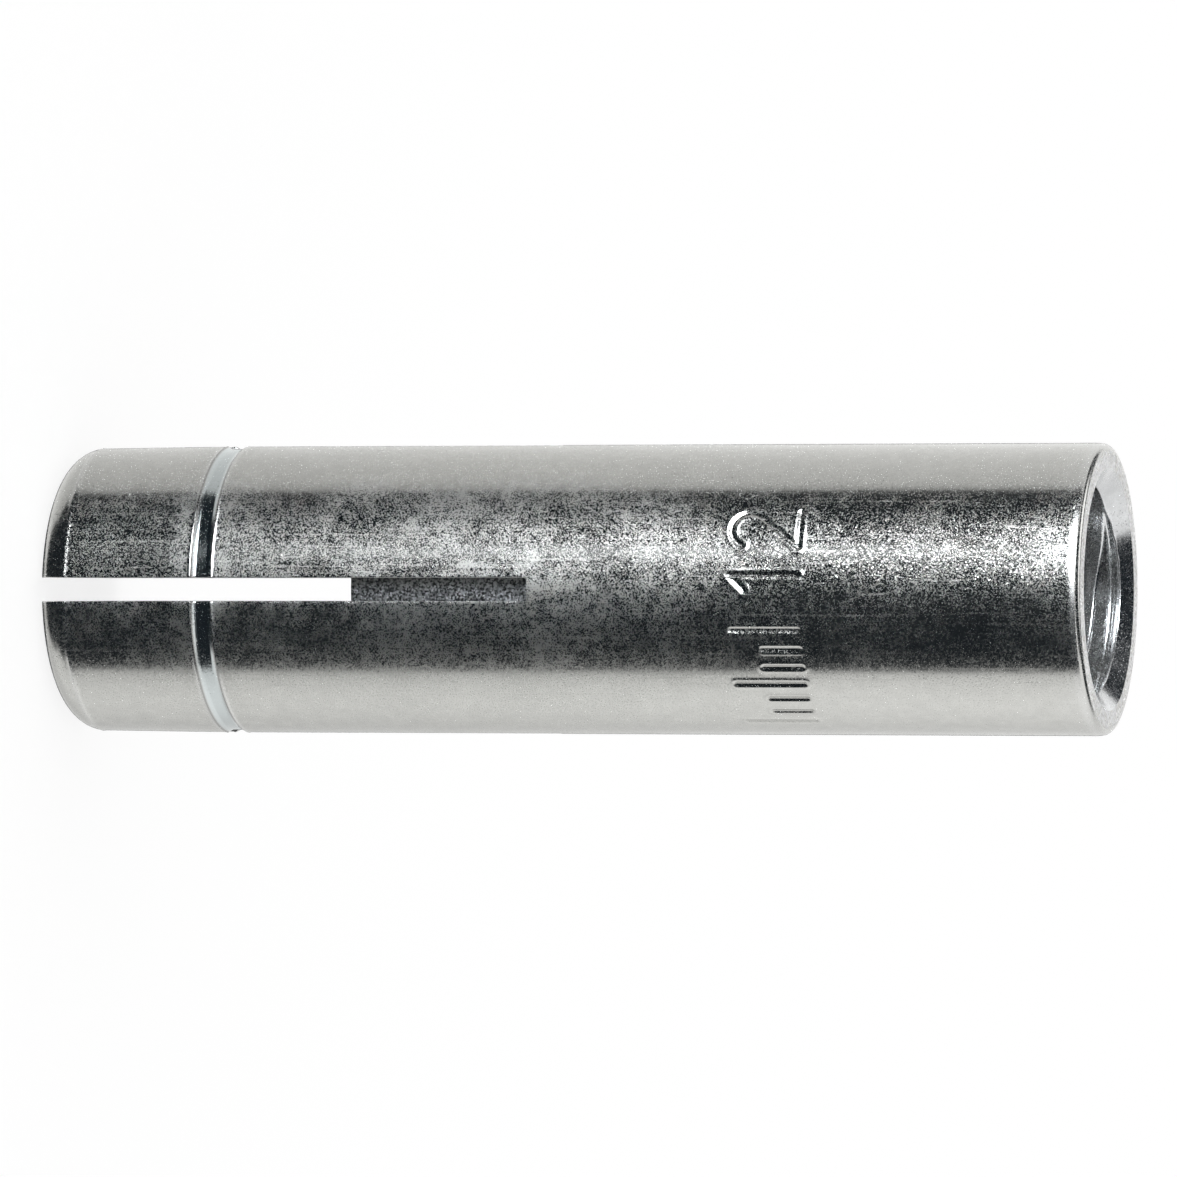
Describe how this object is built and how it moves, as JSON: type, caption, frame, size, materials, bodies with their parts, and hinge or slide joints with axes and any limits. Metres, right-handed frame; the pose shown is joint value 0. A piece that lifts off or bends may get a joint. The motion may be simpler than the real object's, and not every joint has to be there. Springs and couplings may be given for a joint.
{
  "type": "drop-in anchor",
  "caption": "Round drop-in anchor of zinc-plated steel: a sleeve slit at the nose and tapped at the mouth, with a tapered plug inside that spreads the nose when it is driven down.",
  "frame": {"origin": "centre of the nose face, which the anchor stands on", "axes": "+Z along the anchor's axis from the nose to the threaded mouth; the saw cuts lie in the X-Z and Y-Z planes"},
  "size_m": [0.0118, 0.0118, 0.0436],
  "materials": {
    "zinc_plated_sleeve": "bright zinc plating with a fine grain",
    "plug_steel": "plain turned steel, darker than the plating"
  },
  "bodies": {
    "root": {"sleeve": "zinc_plated_sleeve", "expander_plug": "plug_steel"}
  },
  "joints": []
}
